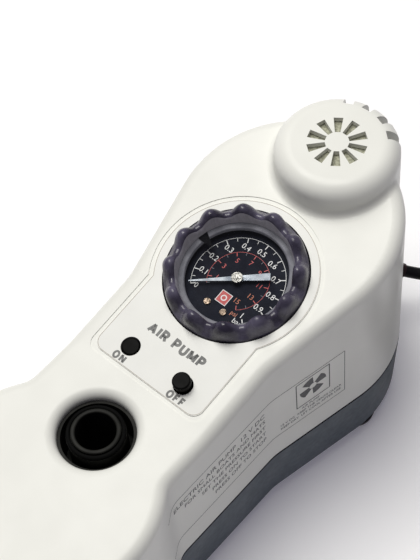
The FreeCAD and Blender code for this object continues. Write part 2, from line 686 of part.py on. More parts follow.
def impeller():
    """A back plate, a hub and nine straight blades."""
    plate = cylinder("impeller_radius", "volute_base + 3", "volute_base + 5", "blower_x")
    hub = cylinder("5", "volute_base + 3", "volute_base + 13", "blower_x")
    blades = []
    for step in range(9):
        angle = 40 * step + 5
        blade = box(("8", "impeller_radius - 0.5"), ("-0.7", "0.7"), ("0", "9"))
        blades.append(put(blade, f"blower_x + 8 * cos({angle} deg) + 0.7 * sin({angle} deg)",
                          f"8 * sin({angle} deg) - 0.7 * cos({angle} deg)", "volute_base + 4.5", (0, 0, 1),
                          f"{angle}"))
    return cut(fuse(plate, hub, *blades), cylinder("2", "volute_base", "volute_base + 20", "blower_x"))


def volute():
    body = fuse(cylinder("volute_radius", "volute_base", "volute_top - 2.5", "blower_x"),
                box(("blower_x - 44", "blower_x"), ("duct_y - 10", "duct_y + 12"),
                    ("volute_base", "volute_top - 2.5")))
    room = cylinder("volute_radius - 2.5", "volute_base + 2", "volute_top", "blower_x")
    outlet = cylinder("duct_bore", "-45", "0", "blower_x", "duct_y", "duct_z", along="x")
    return cut(body, room, outlet, cylinder("6", "volute_base - 2", "volute_base + 3", "blower_x"))


def volute_cover():
    return cut(cylinder("volute_radius", "volute_top - 2.5", "volute_top", "blower_x"),
               cylinder("inlet_radius", "volute_top - 4", "volute_top + 1", "blower_x"))


def motor_bracket():
    """A saddle on the base's floor that holds the blower motor."""
    foot = box(("blower_x - 30", "blower_x + 30"), ("-20", "20"), ("foot_height + wall", "8"))
    collar = tube("blower_can + 2.5", "blower_can + 0.02", "8", "20", "blower_x")
    return fuse(foot, collar)


# ---------------------------------------------------------------- piston stage

def compressor_motor_can():
    return cut(cylinder("piston_motor", "cylinder_x + 20", "cylinder_x + 72", z="crank_z", along="x"),
               cylinder("piston_motor - 1.5", "cylinder_x + 22", "cylinder_x + 70", z="crank_z", along="x"),
               cylinder("4", "cylinder_x + 18", "cylinder_x + 74", z="crank_z", along="x"))


def compressor_armature():
    return cut(cylinder("piston_motor - 5", "cylinder_x + 26", "cylinder_x + 64", z="crank_z", along="x"),
               cylinder("1.6", "cylinder_x + 20", "cylinder_x + 72", z="crank_z", along="x"))


def compressor_shaft():
    return cylinder("1.6", "cylinder_x + 11", "cylinder_x + 71.5", z="crank_z", along="x")


def crank_disc():
    """The crank on the motor's shaft; its pin stops just short of the rod's eye."""
    disc = cylinder("crank_throw + 4.5", "cylinder_x + 12", "cylinder_x + 16", z="crank_z", along="x")
    pin = cylinder("2", "cylinder_x + 2.9", "cylinder_x + 13", z="crank_z + crank_throw", along="x")
    return cut(fuse(disc, pin), cylinder("1.6", "cylinder_x + 8", "cylinder_x + 20", z="crank_z", along="x"))


def con_rod():
    big_z, small_z = "crank_z + crank_throw", "crank_z + crank_throw + rod_length"
    rod = fuse(cylinder("5", "cylinder_x - 2.5", "cylinder_x + 2.5", z=big_z, along="x"),
               cylinder("4", "cylinder_x - 2.5", "cylinder_x + 2.5", z=small_z, along="x"),
               box(("cylinder_x - 1.6", "cylinder_x + 1.6"), ("-2.6", "2.6"),
                   (f"{big_z} + 2", f"{small_z} - 2")))
    return cut(rod, cylinder("2.2", "cylinder_x - 4", "cylinder_x + 4", z=big_z, along="x"),
               cylinder("1.55", "cylinder_x - 4", "cylinder_x + 4", z=small_z, along="x"))


PISTON_PIN_Z = "crank_z + crank_throw + rod_length"


def wrist_pin():
    return cylinder("1.5", "cylinder_x - 9", "cylinder_x + 9", z=PISTON_PIN_Z, along="x")


def piston():
    body = cylinder("piston_radius", f"{PISTON_PIN_Z} - 6", f"{PISTON_PIN_Z} + 8", "cylinder_x")
    room = box(("cylinder_x - 3.2", "cylinder_x + 3.2"), ("-9", "9"),
               (f"{PISTON_PIN_Z} - 7", f"{PISTON_PIN_Z} + 5"))
    pin = cylinder("1.5", "cylinder_x - 9", "cylinder_x + 9", z=PISTON_PIN_Z, along="x")
    groove = tube("piston_radius + 1", "piston_radius - 1",
                  f"{PISTON_PIN_Z} + 5.5", f"{PISTON_PIN_Z} + 7", "cylinder_x")
    return cut(body, room, pin, groove)


def piston_ring():
    return tube("piston_radius", "piston_radius - 1",
                f"{PISTON_PIN_Z} + 5.5", f"{PISTON_PIN_Z} + 7", "cylinder_x")


def cylinder_barrel():
    return fuse(tube("bore_radius + 2.5", "bore_radius", "cylinder_base", "cylinder_top", "cylinder_x"),
                *[tube("bore_radius + 4.5", "bore_radius + 2.5",
                       f"cylinder_base + {up}", f"cylinder_base + {up + 1.5}", "cylinder_x")
                  for up in (12, 17, 22)])


def cylinder_head():
    """The head, with its delivery barb to the side and a round valve chamber on top."""
    head = fuse(cylinder("bore_radius + 4.5", "cylinder_top", "cylinder_top + 8", "cylinder_x"),
                cylinder("7", "cylinder_top + 7", "cylinder_top + 12", "cylinder_x"),
                cylinder("2.6", "14", "23", "cylinder_x", z="cylinder_top + 4", along="y"))
    return cut(head, cylinder("1.2", "0", "24", "cylinder_x", z="cylinder_top + 4", along="y"),
               cylinder("1.2", "cylinder_top - 1", "cylinder_top + 4", "cylinder_x"))


def compressor_frame():
    """A bracket on the base's floor: a cradle for the motor and two posts up to the cylinder."""
    floor = box(("cylinder_x - 14", "cylinder_x + 60"), ("-22", "22"),
                ("foot_height + wall", "foot_height + wall + 3"))
    cradle = cut(box(("cylinder_x + 24", "cylinder_x + 34"), ("-21", "21"), ("foot_height + wall", "crank_z")),
                 cylinder("piston_motor + 0.02", "cylinder_x", "cylinder_x + 60", z="crank_z", along="x"))
    posts = [box(("cylinder_x - 5", "cylinder_x + 5"), low_high, ("foot_height + wall", "cylinder_base"))
             for low_high in (("17.5", "21"), ("-21", "-17.5"))]
    shelf = cut(box(("cylinder_x - 14", "cylinder_x + 14"), ("-21", "21"),
                    ("cylinder_base", "cylinder_base + 3")),
                cylinder("bore_radius + 2.52", "cylinder_base - 1", "cylinder_base + 4", "cylinder_x"))
    return fuse(floor, cradle, *posts, shelf)


# ---------------------------------------------------------------- control board

def control_board():
    return box(("-5", "30"), ("-34", "-32.4"), ("48", "78"))


def relay():
    return box(("2", "22"), ("-32.4", "-18"), ("52", "72"))


# ---------------------------------------------------------------- routed tubes

def routed(points, radius, label, roundness=0.45):
    """A round tube along straight runs joined by arcs, each as large as its runs allow."""
    corners = [Vector(*point) for point in points]
    edges, here, radii = [], corners[0], []
    for before, corner, after in zip(corners, corners[1:], corners[2:]):
        come, leave = (corner - before), (after - corner)
        turn = come.getAngle(leave)
        bend = roundness * min(come.Length, leave.Length) / math.tan(turn / 2)
        back = bend * math.tan(turn / 2)
        radii.append(round(bend, 1))
        start, end = corner - come.normalize() * back, corner + leave.normalize() * back
        bisector = (leave - come).normalize()
        middle = corner + bisector * (bend / math.cos(turn / 2) - bend)
        edges += [Part.LineSegment(here, start).toShape(), Part.Arc(start, middle, end).toShape()]
        here = end
    edges.append(Part.LineSegment(here, corners[-1]).toShape())
    path = Part.Wire(edges)
    direction = corners[1] - corners[0]
    section = Part.Wire([Part.makeCircle(radius, corners[0], direction)])
    solid = path.makePipeShell([section], True, True)
    ideal = math.pi * radius ** 2 * path.Length
    print(f"{label}: length {path.Length:.1f}, radii {radii}, volume ratio {solid.Volume / ideal:.4f}")
    tube_ = doc.addObject("Part::Feature", label + "_route")
    tube_.Shape = solid
    return tube_


# the lead from its gland to the coil's top layer, and from the coil's bottom layer to the plug
LEAD_ROUTE = [(134.7, -19.9, 29.5), (141.4, -27.8, 24.9), (150.4, -36.3, 22.2), (159.6, -44.8, 21.2),
              (168.8, -52.7, 21.5)]
TAIL_ROUTE = [(125.4, -131.0, 3.2), (116.4, -127.7, 3.4), (107.1, -125.3, 5.0), (97.7, -124.2, 8.1),
              (88.1, -124.0, 11.3)]


def gauge_pipe():
    """The thin pipe from the chamber to the gauge's inlet."""
    barb = V.case_depth + 6
    start = Vector(V.dial_x + barb * math.sin(TILT) - 12.1 * math.cos(TILT), 0,
                   V.dial_z - barb * math.cos(TILT) - 12.1 * math.sin(TILT))
    return routed([tuple(start), (18.0, -1.5, 76.0), (2.0, -6.0, 72.5), (-16.0, -8.0, 66.5),
                   (-36.4, -6.0, 60.0)], 2.2, "gauge_pipe")


def delivery_pipe():
    """The pipe from the piston stage's head to the chamber."""
    return routed([(V.cylinder_x, 23.1, V.cylinder_top + 4), (-94.0, 30.0, 84.0), (-85.0, 31.5, 74.0),
                   (-76.0, 28.0, 65.5), (V.port_x - 15, 22.0, 60.0)], 2.2, "delivery_pipe")


def lead_tube():
    return routed(LEAD_ROUTE, V.lead_radius, "lead_tube")


def lead_tail():
    return routed(TAIL_ROUTE, V.lead_radius, "lead_tail")


def lead_coil():
    ring = tube("coil_outer", "coil_inner", "0", "coil_height", "coil_x", "coil_y")
    return rounded(ring, 3.0, lambda edge: level(edge, 0.0) or level(edge, V.coil_height))


def coil_tie():
    """A releasable strap round the coil's section, on the side away from the housing."""
    mid = (V.coil_inner + V.coil_outer) / 2
    half = (V.coil_outer - V.coil_inner) / 2
    inner, outer = f"coil_x + {mid - half}", f"coil_x + {mid + half}"
    return cut(box((f"{inner} - 2", f"{outer} + 1.4"), ("coil_y - 5", "coil_y + 5"), ("0", "coil_height + 1.4")),
               box((f"{inner} - 0.7", f"{outer} + 0.1"), ("coil_y - 6", "coil_y + 6"),
                   ("-1", "coil_height + 0.1")))


def plug_body():
    """A 12 V accessory plug lying on its grip, with a tapered sleeve for the lead."""
    z = "plug_radius + 0.5"
    grip = cylinder("plug_radius + 0.5", "plug_end + 30", "plug_end + 46", y="plug_y", z=z, along="x")
    grip = rounded(grip, 1.5, lambda edge: edge.BoundBox.XLength < 0.01)
    barrel = cylinder("plug_radius - 0.6", "plug_end + 6", "plug_end + 31", y="plug_y", z=z, along="x")
    nose = cone("6.4", "plug_radius - 0.6", "plug_end + 2", "plug_end + 6.1", y="plug_y", z=z, along="x")
    sleeve = cone("6.2", "3.4", "plug_end + 45", "plug_end + 64", y="plug_y", z=z, along="x")
    return cut(fuse(grip, barrel, nose, sleeve),
               cylinder("3.3", "plug_end", "plug_end + 10", y="plug_y", z=z, along="x"))


def plug_tip():
    z = "plug_radius + 0.5"
    return fuse(cylinder("3.2", "plug_end - 2", "plug_end + 6", y="plug_y", z=z, along="x"),
                ball("3.2", "plug_end - 2", "plug_y", z))


def plug_contacts():
    z = "plug_radius + 0.5"
    return fuse(*[box(("plug_end + 12", "plug_end + 26"), (f"plug_y + {low}", f"plug_y + {high}"),
                      (f"{z} - 2", f"{z} + 2")) for low, high in (("10.5", "11.3"), ("-11.3", "-10.5"))])


# ---------------------------------------------------------------- assembly

for builder in (upper_shell, base_shell, seam_gasket, panel_overlay, feet, housing_screws, gauge_case,
                gauge_bezel, dial_face, dial_screws, bourdon_tube, gauge_stem, needle, set_ring, set_lens,
                set_pointer, switch_rocker, rocker_pin, switch_block, intake_filter, filter_tray,
                hose_socket, socket_seal, air_manifold, air_duct, blower_motor_can, blower_magnets,
                blower_armature, blower_shaft, impeller, volute, volute_cover, motor_bracket,
                compressor_motor_can, compressor_armature, compressor_shaft, crank_disc, con_rod,
                wrist_pin, piston, piston_ring, cylinder_barrel, cylinder_head, compressor_frame,
                control_board, relay, gauge_pipe, delivery_pipe, cable_gland, lead_tube, lead_coil, lead_tail,
                coil_tie, plug_body, plug_tip, plug_contacts, needle_hub):
    node(builder.__name__, builder())
node("on_button", button("0", "button_half"))
node("off_button", button("button_travel", "-button_half"))
doc.recompute()

for thing in doc.Objects:
    if {"Invalid", "Error"} & set(thing.State):
        raise SystemExit(f"{thing.Name} ({thing.Label}) failed: {thing.State}")
os.makedirs("parts", exist_ok=True)
for name, thing in NODES.items():
    shape = thing.Shape
    if shape.isNull() or not shape.isValid():
        raise SystemExit(f"{name} has no valid shape")
    print(f"{name}: {len(shape.Solids)} solids, {shape.Volume / 1000:.2f} cm3")
    shape.exportStep(f"parts/{name}.step")
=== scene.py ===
"""Looks of the electric inflator pump: its camera, lead, materials, printing and light.

Lengths are in metres unless a name says mm. Gauge coordinates are millimetres from the dial's
centre: x up the tilted panel, towards the vented dome, y across it, z out of the dial.
"""
import json
import math

import bmesh
import bpy
from mathutils import Matrix, Vector
from mathutils.bvhtree import BVHTree


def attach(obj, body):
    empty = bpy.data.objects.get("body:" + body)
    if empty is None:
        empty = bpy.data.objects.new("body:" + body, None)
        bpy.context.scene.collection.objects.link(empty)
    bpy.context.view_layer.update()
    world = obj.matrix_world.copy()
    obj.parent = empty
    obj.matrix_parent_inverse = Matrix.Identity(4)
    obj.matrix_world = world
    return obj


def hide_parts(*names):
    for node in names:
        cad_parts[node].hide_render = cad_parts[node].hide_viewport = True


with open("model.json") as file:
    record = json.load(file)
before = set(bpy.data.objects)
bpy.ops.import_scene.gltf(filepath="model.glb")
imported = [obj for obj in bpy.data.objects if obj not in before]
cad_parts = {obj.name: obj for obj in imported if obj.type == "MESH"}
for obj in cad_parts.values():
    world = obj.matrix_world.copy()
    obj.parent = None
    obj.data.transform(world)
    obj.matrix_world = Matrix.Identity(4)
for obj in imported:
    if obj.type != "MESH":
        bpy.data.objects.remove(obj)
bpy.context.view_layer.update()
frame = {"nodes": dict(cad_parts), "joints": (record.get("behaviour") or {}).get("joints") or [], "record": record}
NODES = frame["nodes"]
JOINTS = {joint["name"]: joint for joint in frame["joints"]}
MM = 0.001
HOUSING = "housing"


# ---------------------------------------------------------------- camera

def make_camera():
    """A long lens above the low lobe's near side, rolled a little."""
    elevation, heading, roll = (math.radians(angle) for angle in (56.63, -43.03, -6.85))
    place = (-0.2371, -0.2788, 0.7144)
    data = bpy.data.cameras.new("camera")
    data.sensor_width = 36.0
    data.lens = 106.64
    camera = bpy.data.objects.new("camera", data)
    bpy.context.scene.collection.objects.link(camera)
    turn = (Matrix.Rotation(heading, 4, "Z") @ Matrix.Rotation(math.pi / 2 - elevation, 4, "X")
            @ Matrix.Rotation(roll, 4, "Z"))
    camera.matrix_world = Matrix.Translation(place) @ turn
    bpy.context.scene.camera = camera


make_camera()


# ---------------------------------------------------------------- materials

def node_material(name):
    material = bpy.data.materials.new(name)
    material.use_nodes = True
    tree = material.node_tree
    return material, tree, tree.nodes["Principled BSDF"]


def add(tree, kind, **inputs):
    """A shader node with its inputs set by name; spaces in names are written as underscores."""
    node = tree.nodes.new(kind)
    for name, value in inputs.items():
        node.inputs[name.replace("_", " ")].default_value = value
    return node


def noise(tree, scale, detail=3.0, stretch=(1, 1, 1)):
    """Noise in object space; scale is in features per metre."""
    place = tree.nodes.new("ShaderNodeTexCoord")
    mapping = add(tree, "ShaderNodeMapping", Scale=stretch)
    pattern = add(tree, "ShaderNodeTexNoise", Scale=scale, Detail=detail)
    tree.links.new(place.outputs["Object"], mapping.inputs["Vector"])
    tree.links.new(mapping.outputs["Vector"], pattern.inputs["Vector"])
    return pattern.outputs["Fac"]


def ramp(tree, factor, low, high, start=0.35, end=0.65):
    """Blend from low to high as the factor goes from start to end."""
    blend = tree.nodes.new("ShaderNodeValToRGB")
    for element, place, colour in zip(blend.color_ramp.elements, (start, end), (low, high)):
        element.position = place
        element.color = (*colour, 1.0)
    tree.links.new(factor, blend.inputs["Fac"])
    return blend.outputs["Color"]


def grey(value):
    return (value, value, value)


def surface(name, low, high, mottle=60.0, rough=(0.35, 0.45), rough_scale=90.0, grain=900.0,
            grain_height=0.02, metallic=0.0, stretch=(1, 1, 1), **sockets):
    """A procedural surface: two mottled tones, uneven gloss and a fine grain in the bump.

    mottle, rough_scale and grain are in features per metre, and grain_height in millimetres.
    Other inputs of the shader go by name, with underscores for spaces."""
    material, tree, shader = node_material(name)
    tones = ramp(tree, noise(tree, mottle, stretch=stretch), low, high)
    tree.links.new(tones, shader.inputs["Base Color"])
    gloss = noise(tree, rough_scale, stretch=stretch)
    tree.links.new(ramp(tree, gloss, grey(rough[0]), grey(rough[1])), shader.inputs["Roughness"])
    bump = add(tree, "ShaderNodeBump", Strength=0.5, Distance=grain_height * MM)
    tree.links.new(noise(tree, grain, 2.0, stretch), bump.inputs["Height"])
    tree.links.new(bump.outputs["Normal"], shader.inputs["Normal"])
    shader.inputs["Metallic"].default_value = metallic
    for socket, value in sockets.items():
        shader.inputs[socket.replace("_", " ")].default_value = value
    return material


BLACK_LOW, BLACK_HIGH = (0.009, 0.009, 0.010), (0.014, 0.014, 0.015)
FINISHES = {
    "shell": surface(
        "moulded_white", (0.785, 0.785, 0.745), (0.82, 0.82, 0.78), mottle=25, rough=(0.28, 0.36),
        grain=1400, grain_height=0.012, Specular_IOR_Level=0.22),
    "base": surface(
        "slate_base", (0.062, 0.081, 0.104), (0.080, 0.103, 0.129), mottle=420, rough=(0.5, 0.62),
        grain=1600, grain_height=0.05),
    "gasket": surface(
        "gasket_black", (0.002, 0.002, 0.002), (0.004, 0.004, 0.004), rough=(0.7, 0.85),
        Specular_IOR_Level=0.05),
    "overlay": surface(
        "panel_film", (0.775, 0.775, 0.745), (0.80, 0.80, 0.775), mottle=40, rough=(0.36, 0.42),
        grain=2500, grain_height=0.006, Specular_IOR_Level=0.22),
    "foot_rubber": surface(
        "foot_rubber", BLACK_LOW, (0.02, 0.02, 0.02), mottle=300, rough=(0.7, 0.85), grain=1500,
        grain_height=0.05),
    "steel": surface(
        "plated_steel", (0.42, 0.42, 0.42), (0.56, 0.56, 0.55), mottle=150, rough=(0.25, 0.4),
        metallic=1.0, stretch=(1, 1, 6)),
    "gauge_black": surface("gauge_black", BLACK_LOW, BLACK_HIGH, rough=(0.3, 0.4), grain=1500),
    # The bezel glows faintly: painted light, standing in for light that the ring's crest shades from it.
    "bezel_grey": surface(
        "bezel_grey", (0.10, 0.10, 0.12), (0.17, 0.17, 0.20), mottle=220, rough=(0.45, 0.6),
        grain=2200, grain_height=0.01, Specular_IOR_Level=0.3, Emission_Color=(0.9, 0.9, 1.0, 1.0),
        Emission_Strength=0.04),
    "dial_blue_black": surface(
        "dial_blue_black", (0.006, 0.007, 0.014), (0.010, 0.012, 0.021), mottle=260,
        rough=(0.55, 0.65), grain=3000, grain_height=0.008, Specular_IOR_Level=0.06),
    "brass": surface(
        "turned_brass", (0.02, 0.015, 0.01), (0.26, 0.20, 0.155), mottle=1500, rough=(0.35, 0.5),
        metallic=1.0),
    "needle_silver": surface(
        "needle_silver", (0.10, 0.12, 0.15), (0.34, 0.37, 0.41), mottle=140, rough=(0.35, 0.5),
        metallic=0.5, stretch=(1, 1, 4)),
    "hub_bright": surface(
        "hub_bright", (0.02, 0.02, 0.02), (0.30, 0.295, 0.28), mottle=1500, rough=(0.3, 0.45),
        metallic=0.9, grain=2500, grain_height=0.03),
    "smoked_ring": surface(
        "smoked_plastic", (0.030, 0.026, 0.044), (0.11, 0.10, 0.15), mottle=110,
        rough=(0.20, 0.34), rough_scale=160, grain=700, grain_height=0.04,
        Specular_IOR_Level=0.45),
    "mark_black": surface(
        "mark_black", (0.003, 0.003, 0.004), (0.006, 0.006, 0.007), rough=(0.5, 0.6),
        Specular_IOR_Level=0.02),
    "inner_plastic": surface(
        "inner_plastic", (0.03, 0.03, 0.033), (0.05, 0.05, 0.055), mottle=120, rough=(0.5, 0.65),
        grain=1200, grain_height=0.03),
    "button_black": surface(
        "button_black", (0.003, 0.003, 0.003), (0.006, 0.006, 0.006), mottle=300,
        rough=(0.35, 0.5), grain=1500, grain_height=0.02, Specular_IOR_Level=0.04),
    "filter_foam": surface(
        "filter_foam", (0.24, 0.24, 0.18), (0.46, 0.46, 0.36), mottle=900, rough=(0.85, 0.95),
        grain=900, grain_height=0.6),
    "ferrite": surface("ferrite", (0.04, 0.04, 0.042), (0.06, 0.06, 0.062), rough=(0.6, 0.75)),
    "iron": surface(
        "laminated_iron", (0.16, 0.15, 0.14), (0.24, 0.23, 0.22), mottle=200, rough=(0.4, 0.55),
        metallic=1.0, stretch=(1, 1, 12)),
    "bracket_paint": surface(
        "bracket_paint", (0.09, 0.09, 0.10), (0.12, 0.12, 0.13), rough=(0.45, 0.6)),
    "cast_alloy": surface(
        "cast_alloy", (0.48, 0.48, 0.49), (0.62, 0.62, 0.63), mottle=240, rough=(0.4, 0.55),
        metallic=1.0, grain=1100, grain_height=0.06),
    "ring_ptfe": surface("ring_ptfe", (0.04, 0.036, 0.03), (0.06, 0.05, 0.045), rough=(0.4, 0.5)),
    "board_green": surface(
        "board_green", (0.012, 0.12, 0.045), (0.03, 0.2, 0.08), mottle=400, rough=(0.3, 0.4)),
    "relay_black": surface("relay_black", BLACK_LOW, (0.03, 0.03, 0.03), rough=(0.4, 0.5)),
    "lead_black": surface(
        "lead_black", (0.004, 0.004, 0.005), (0.009, 0.009, 0.010), mottle=90, rough=(0.3, 0.42),
        grain=1500, grain_height=0.02, Specular_IOR_Level=0.25),
    "tie_black": surface(
        "tie_black", (0.012, 0.012, 0.012), (0.03, 0.03, 0.03), mottle=1300, rough=(0.8, 0.9),
        grain=1300, grain_height=0.15),
    "plug_black": surface(
        "plug_black", BLACK_LOW, (0.018, 0.018, 0.019), mottle=200, rough=(0.4, 0.52), grain=1600,
        grain_height=0.05),
    "socket_black": surface(
        "socket_black", (0.009, 0.009, 0.008), (0.018, 0.018, 0.016), mottle=160,
        rough=(0.48, 0.6), Specular_IOR_Level=0.1),
    "plug_metal": surface(
        "plug_metal", (0.60, 0.60, 0.60), (0.78, 0.78, 0.77), mottle=300, rough=(0.14, 0.26),
        metallic=1.0),
}


def clear_plastic():
    """The lens: thin clear plastic that lets nearly all the light through."""
    material, tree, shader = node_material("clear_lens")
    haze = ramp(tree, noise(tree, 120), grey(0.30), grey(0.38))
    tree.links.new(haze, shader.inputs["Roughness"])
    shader.inputs["Base Color"].default_value = (0.03, 0.03, 0.05, 1.0)
    shader.inputs["Specular IOR Level"].default_value = 0.1
    shader.inputs["Alpha"].default_value = 0.03
    return material


FINISHES["clear_lens"] = clear_plastic()
# The ring's inner wall: a lighter, glowing copy of the smoked plastic. This is painted light for light passing
# through the ring onto a wall the lamps leave in shade.
FINISHES["ring_wall"] = surface(
    "ring_wall", (0.08, 0.077, 0.095), (0.17, 0.165, 0.20), mottle=420, rough=(0.4, 0.5),
    grain=1200, grain_height=0.03, Specular_IOR_Level=0.3, stretch=(1, 1, 0.25),
    Emission_Color=(0.95, 0.9, 1.0, 1.0), Emission_Strength=0.075)
FINISHES["gland"] = surface(
    "gland_rubber", (0.006, 0.004, 0.004), (0.030, 0.010, 0.012), mottle=120, rough=(0.4, 0.55),
    grain=1500, grain_height=0.03)
for part in frame["record"]["subparts"]:
    mesh = NODES[part["node"]].data
    mesh.materials.clear()
    finish = "gland" if part["node"] == "cable_gland" else part["material_slot"]
    mesh.materials.append(FINISHES[finish])


# ---------------------------------------------------------------- lead

LEAD_DIAMETER = 0.006


def lead_points():
    """The lead's route in mm: from its gland, round and round the coil, and out to the plug.

    The coil winds inward and outward by turns, a layer at a time. Angles are in degrees."""
    from_gland = [(134.7, -19.9, 29.5), (141.4, -27.8, 24.9), (150.4, -36.3, 22.2),
                  (159.6, -44.8, 21.2), (168.8, -52.7, 21.5)]
    to_plug = [(125.4, -131.0, 3.2), (116.4, -127.7, 3.4), (107.1, -125.3, 5.0),
               (97.7, -124.2, 8.1), (88.1, -124.0, 11.3)]
    centre_x, centre_y = 143.5, -90.0
    outer, inner = 44.7, 26.3
    layers = (21.75, 15.55, 9.35, 3.15)
    full_turns, per_turn = 12, 24
    first, last = 47.6, -110.0 - full_turns * 360
    change = 90.0
    points = list(from_gland)
    spiral = (first - last - change * (len(layers) - 1)) / len(layers)
    steps = round((first - last) / 360 * per_turn)
    for step in range(steps):
        travelled = (first - last) * step / steps
        layer = min(int(travelled / (spiral + change)), len(layers) - 1)
        along = travelled - layer * (spiral + change)
        inward = layer % 2 == 0
        share = min(along / spiral, 1.0)
        radius = outer + (inner - outer) * (share if inward else 1 - share)
        height = layers[layer]
        if along > spiral:
            eased = (1 - math.cos(math.pi * (along - spiral) / change)) / 2
            height += (layers[layer + 1] - height) * eased
        angle = math.radians(first - travelled)
        points.append((centre_x + radius * math.cos(angle),
                       centre_y + radius * math.sin(angle), height))
    return points + to_plug


def make_lead():
    points = lead_points()
    data = bpy.data.curves.new("lead", "CURVE")
    data.dimensions = "3D"
    data.bevel_depth = LEAD_DIAMETER / 2
    data.bevel_resolution = 5
    data.resolution_u = 6
    data.use_fill_caps = True
    spline = data.splines.new("NURBS")
    spline.points.add(len(points) - 1)
    for point, (x, y, z) in zip(spline.points, points):
        point.co = (x * MM, y * MM, z * MM, 1.0)
    spline.order_u = 3
    spline.use_endpoint_u = True
    lead = bpy.data.objects.new("lead", data)
    bpy.context.scene.collection.objects.link(lead)
    data.materials.append(FINISHES["lead_black"])
    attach(lead, HOUSING)
    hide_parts("lead_tube", "lead_coil", "lead_tail")


make_lead()


# ---------------------------------------------------------------- printing

GAUGE_UP = Vector(JOINTS["cutoff_setting"]["axis"])
GAUGE_CENTRE = Vector(JOINTS["cutoff_setting"]["pos_m"])
GAUGE_Y = Vector((0, 1, 0))
GAUGE_X = GAUGE_Y.cross(GAUGE_UP)
GAUGE_TURN = Matrix((GAUGE_X, GAUGE_Y, GAUGE_UP)).transposed().to_4x4()
GAUGE = Matrix.Translation(GAUGE_CENTRE) @ GAUGE_TURN @ Matrix.Scale(MM, 4)
DIAL_PRINT, HOUSING_PRINT = 0.05, 0.04      # thickness of the printing in mm
PANEL_Z = 6.0
MERGE_DISTANCE = 0.002
MITRE_LIMIT, SHARP_CORNER = 0.7, math.radians(100)
FONT_SCALE = 1.42                           # a font's size over the height of its capitals


def ink(name, low, high):
    return surface(name, low, high, mottle=800, rough=(0.4, 0.5), grain=3000, grain_height=0.005)


WHITE_INK = ink("white_ink", (0.70, 0.71, 0.72), (0.82, 0.82, 0.82))
RED_INK = ink("red_ink", (0.42, 0.020, 0.022), (0.55, 0.035, 0.035))
ORANGE_INK = ink("orange_ink", (0.42, 0.10, 0.035), (0.52, 0.14, 0.05))
DIM_INK = ink("dim_ink", (0.10, 0.11, 0.14), (0.15, 0.16, 0.20))
GREY_INK = ink("grey_ink", (0.075, 0.075, 0.075), (0.11, 0.11, 0.11))
LINE_INK = ink("line_ink", (0.34, 0.30, 0.25), (0.42, 0.38, 0.32))
LABEL_INK = ink("label_ink", (0.035, 0.035, 0.04), (0.06, 0.06, 0.065))


def arc(radius, start, end, step=4.0):
    """Points along an arc; angles in degrees."""
    count = max(2, math.ceil(abs(end - start) / step))
    angles = [math.radians(start + (end - start) * i / count) for i in range(count + 1)]
    return [(radius * math.cos(angle), radius * math.sin(angle)) for angle in angles]


def stroke(points, width, closed=False):
    """Quads for a line of a width along points, mitred at its corners."""
    sides = []
    count = len(points)
    for i, point in enumerate(points):
        before = points[i - 1] if i or closed else point
        after = points[(i + 1) % count] if i < count - 1 or closed else point
        come = Vector((point[0] - before[0], point[1] - before[1]))
        leave = Vector((after[0] - point[0], after[1] - point[1]))
        come = come.normalized() if come.length else leave.normalized()
        leave = leave.normalized() if leave.length else come
        normal = Vector((-(come + leave).y, (come + leave).x)).normalized()
        reach = width / 2 / max(MITRE_LIMIT, normal.dot(Vector((-come.y, come.x))))
        sides.append((Vector(point) + normal * reach, Vector(point) - normal * reach))
    pairs = list(zip(sides, sides[1:] + sides[:1] if closed else sides[1:]))
    return [[a[0], a[1], b[1], b[0]] for a, b in pairs]


def radial(angle, inner, outer, width):
    """One quad for a tick mark along a radius."""
    way = Vector((math.cos(math.radians(angle)), math.sin(math.radians(angle))))
    return stroke([tuple(way * inner), tuple(way * outer)], width)[0]


def letters(text, height, x, y, turn, align="CENTER"):
    """Faces of a line of text at a point; height is the capitals', turn in degrees."""
    curve = bpy.data.curves.new("letters", "FONT")
    curve.body = text
    curve.size = height * FONT_SCALE
    curve.align_x = align
    curve.align_y = "CENTER"
    curve.resolution_u = 3
    holder = bpy.data.objects.new("letters", curve)
    bpy.context.scene.collection.objects.link(holder)
    flat = bpy.data.meshes.new_from_object(holder)
    place = Matrix.Translation((x, y, 0)) @ Matrix.Rotation(math.radians(turn), 4, "Z")
    flat.transform(place)
    faces = [[Vector(flat.vertices[i].co[:2]) for i in polygon.vertices]
             for polygon in flat.polygons]
    bpy.data.objects.remove(holder)
    bpy.data.curves.remove(curve)
    bpy.data.meshes.remove(flat)
    return faces


BOWL = [(0.0, 0.0), (0.0, 1.0), (0.32, 1.0), (0.46, 0.96), (0.56, 0.86), (0.58, 0.74),
        (0.56, 0.62), (0.46, 0.52), (0.32, 0.48), (0.0, 0.48)]
# Each capital's width and its lines, as shares of the height of a line through its strokes.
STROKES = {
    "A": (0.76, [[(0.0, 0.0), (0.38, 1.0), (0.76, 0.0)], [(0.15, 0.3), (0.61, 0.3)]]),
    "F": (0.52, [[(0.52, 1.0), (0.0, 1.0), (0.0, 0.0)], [(0.0, 0.52), (0.46, 0.52)]]),
    "I": (0.0, [[(0.0, 0.0), (0.0, 1.0)]]),
    "M": (0.78, [[(0.0, 0.0), (0.0, 1.0), (0.39, 0.12), (0.78, 1.0), (0.78, 0.0)]]),
    "N": (0.64, [[(0.0, 0.0), (0.0, 1.0), (0.64, 0.0), (0.64, 1.0)]]),
    "O": (0.78, [[(0.39 + 0.39 * math.sin(math.radians(a)), 0.5 + 0.5 * math.cos(math.radians(a)))
                  for a in range(0, 361, 15)]]),
    "P": (0.58, [BOWL]),
    "R": (0.62, [BOWL, [(0.32, 0.48), (0.62, 0.0)]]),
    "U": (0.64, [[(0.0, 1.0), (0.0, 0.34), (0.05, 0.14), (0.17, 0.03), (0.32, 0.0), (0.47, 0.03),
                  (0.59, 0.14), (0.64, 0.34), (0.64, 1.0)]]),
    " ": (0.05, []),
}


